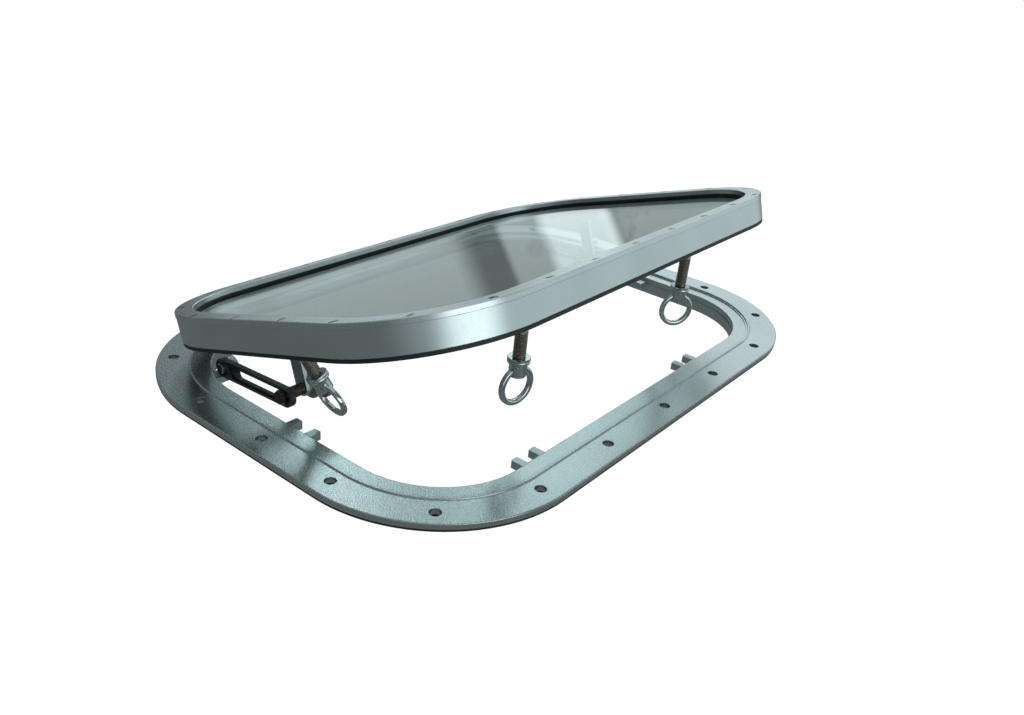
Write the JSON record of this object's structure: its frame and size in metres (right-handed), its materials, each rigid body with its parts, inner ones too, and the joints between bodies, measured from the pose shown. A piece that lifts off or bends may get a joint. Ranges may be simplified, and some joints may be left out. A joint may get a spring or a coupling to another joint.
{
  "type": "ship window",
  "caption": "Rounded rectangular opening ship window: flanged hull frame, glazed sash on hinges, swing bolts with ring nuts, and slotted friction stays",
  "frame": {"origin": "middle of the hull frame's outer face, in the plane of the flange", "axes": "X along the hinge line and the longer side, +Y towards the hinges, +Z outboard, away from the hull"},
  "size_m": [0.7, 0.48, 0.1927],
  "materials": {
    "frame_metal": "fine blasted",
    "sash_metal": "fine blasted",
    "ring_metal": "fine blasted",
    "fitting_metal": "satin",
    "rubber_black": "matte",
    "pane": "polished",
    "stainless": "polished",
    "steel_pin": "turned",
    "screw_steel": "satin",
    "arm_paint": "semi-gloss",
    "knob_zinc": "dull zinc"
  },
  "bodies": {
    "hull_frame": {"main_frame": "frame_metal", "hull_gasket": "rubber_black", "hinge_leaf_screws": "screw_steel", "fork_front_left": "fitting_metal", "fork_front_right": "fitting_metal", "fork_left": "fitting_metal", "fork_right": "fitting_metal", "hinge_leaf_left": "fitting_metal", "hinge_leaf_right": "fitting_metal", "hinge_pin_left": "steel_pin", "hinge_pin_right": "steel_pin", "stay_bracket_left": "fitting_metal", "stay_bracket_right": "fitting_metal", "stay_pin_left": "steel_pin", "stay_pin_right": "steel_pin"},
    "sash": {"sash_frame": "sash_metal", "sash_gasket": "rubber_black", "glass_pane": "pane", "bed_seal": "rubber_black", "glazing_seal": "rubber_black", "retaining_ring": "ring_metal", "ring_screws": "screw_steel", "lug_screws": "screw_steel", "stay_screws": "screw_steel", "hinge_arm_screws": "screw_steel", "bolt_lug_front_left": "fitting_metal", "bolt_lug_front_right": "fitting_metal", "bolt_lug_left": "fitting_metal", "bolt_lug_right": "fitting_metal", "pivot_pin_front_left": "steel_pin", "pivot_pin_front_right": "steel_pin", "pivot_pin_left": "steel_pin", "pivot_pin_right": "steel_pin", "hinge_arm_left": "fitting_metal", "hinge_arm_right": "fitting_metal", "drop_bracket_left": "fitting_metal", "drop_bracket_right": "fitting_metal", "clamp_stud_left": "stainless", "clamp_stud_right": "stainless", "slide_washers_left": "stainless", "slide_washers_right": "stainless"},
    "bolt_front_left": {"swing_bolt_front_left": "stainless"},
    "washer_front_left": {"clamp_washer_front_left": "stainless"},
    "nut_front_left": {"ring_nut_front_left": "stainless"},
    "bolt_front_right": {"swing_bolt_front_right": "stainless"},
    "washer_front_right": {"clamp_washer_front_right": "stainless"},
    "nut_front_right": {"ring_nut_front_right": "stainless"},
    "bolt_left": {"swing_bolt_left": "stainless"},
    "washer_left": {"clamp_washer_left": "stainless"},
    "nut_left": {"ring_nut_left": "stainless"},
    "bolt_right": {"swing_bolt_right": "stainless"},
    "washer_right": {"clamp_washer_right": "stainless"},
    "nut_right": {"ring_nut_right": "stainless"},
    "stay_left": {"stay_arm_left": "arm_paint"},
    "knob_left": {"clamp_knob_left": "knob_zinc"},
    "stay_right": {"stay_arm_right": "arm_paint"},
    "knob_right": {"clamp_knob_right": "knob_zinc"}
  },
  "joints": [
    {"name": "sash_hinge", "type": "hinge", "parent": "hull_frame", "child": "sash", "pos_m": [0, 0.228, 0.008], "axis": [-1, 0, 0], "range_deg": [-18.2, 6.8]},
    {"name": "bolt_swing_front_left", "type": "hinge", "parent": "sash", "child": "bolt_front_left", "pos_m": [-0.172, -0.15545, 0.12881], "axis": [1, 0, 0], "range_deg": [-18.2, 51.8]},
    {"name": "washer_lift_front_left", "type": "slide", "parent": "bolt_front_left", "child": "washer_front_left", "axis": [0, 0, 1], "range_m": [0, 0.0236]},
    {"name": "nut_spin_front_left", "type": "hinge", "parent": "washer_front_left", "child": "nut_front_left", "pos_m": [-0.172, -0.15545, 0.08381], "axis": [0, 0, 1], "range_deg": [0, 4852]},
    {"name": "bolt_swing_front_right", "type": "hinge", "parent": "sash", "child": "bolt_front_right", "pos_m": [0.119, -0.15545, 0.12881], "axis": [1, 0, 0], "range_deg": [-18.2, 51.8]},
    {"name": "washer_lift_front_right", "type": "slide", "parent": "bolt_front_right", "child": "washer_front_right", "axis": [0, 0, 1], "range_m": [0, 0.0326]},
    {"name": "nut_spin_front_right", "type": "hinge", "parent": "washer_front_right", "child": "nut_front_right", "pos_m": [0.119, -0.15545, 0.08381], "axis": [0, 0, 1], "range_deg": [0, 6704]},
    {"name": "bolt_swing_left", "type": "hinge", "parent": "sash", "child": "bolt_left", "pos_m": [-0.284, 0.00605, 0.07571], "axis": [0, -0.95, 0.3123], "range_deg": [-20.5, 49.5]},
    {"name": "washer_lift_left", "type": "slide", "parent": "bolt_left", "child": "washer_left", "axis": [-0.3502, 0.2926, 0.8898], "range_m": [0, 0.0181]},
    {"name": "nut_spin_left", "type": "hinge", "parent": "washer_left", "child": "nut_left", "pos_m": [-0.26824, -0.00712, 0.03567], "axis": [-0.3502, 0.2926, 0.8898], "range_deg": [0, 3721]},
    {"name": "bolt_swing_right", "type": "hinge", "parent": "sash", "child": "bolt_right", "pos_m": [0.284, 0.00605, 0.07571], "axis": [0, 0.95, -0.3123], "range_deg": [-20.5, 49.5]},
    {"name": "washer_lift_right", "type": "slide", "parent": "bolt_right", "child": "washer_right", "axis": [0.3502, 0.2926, 0.8898], "range_m": [0, 0.0181]},
    {"name": "nut_spin_right", "type": "hinge", "parent": "washer_right", "child": "nut_right", "pos_m": [0.26824, -0.00712, 0.03567], "axis": [0.3502, 0.2926, 0.8898], "range_deg": [0, 3721]},
    {"name": "stay_swing_left", "type": "hinge", "parent": "hull_frame", "child": "stay_left", "pos_m": [-0.272, 0.13573, -0.00371], "axis": [-1, 0, 0], "range_deg": [-35.9, 13.5]},
    {"name": "knob_turn_left", "type": "hinge", "parent": "sash", "child": "knob_left", "pos_m": [-0.238, 0.04204, 0.00303], "axis": [1, 0, 0], "range_deg": [0, 360]},
    {"name": "stay_swing_right", "type": "hinge", "parent": "hull_frame", "child": "stay_right", "pos_m": [0.272, 0.13573, -0.00371], "axis": [-1, 0, 0], "range_deg": [-35.9, 13.5]},
    {"name": "knob_turn_right", "type": "hinge", "parent": "sash", "child": "knob_right", "pos_m": [0.238, 0.04204, 0.00303], "axis": [-1, 0, 0], "range_deg": [0, 360]}
  ],
  "couplings": [
    {"joint": "washer_lift_front_left", "follows": "nut_spin_front_left", "m_per_rad": 0.00027852},
    {"joint": "washer_lift_front_right", "follows": "nut_spin_front_right", "m_per_rad": 0.00027852},
    {"joint": "washer_lift_left", "follows": "nut_spin_left", "m_per_rad": 0.00027852},
    {"joint": "washer_lift_right", "follows": "nut_spin_right", "m_per_rad": 0.00027852},
    {"joint": "stay_swing_left", "follows": "sash_hinge", "ratio": 1.967},
    {"joint": "stay_swing_right", "follows": "sash_hinge", "ratio": 1.967}
  ]
}
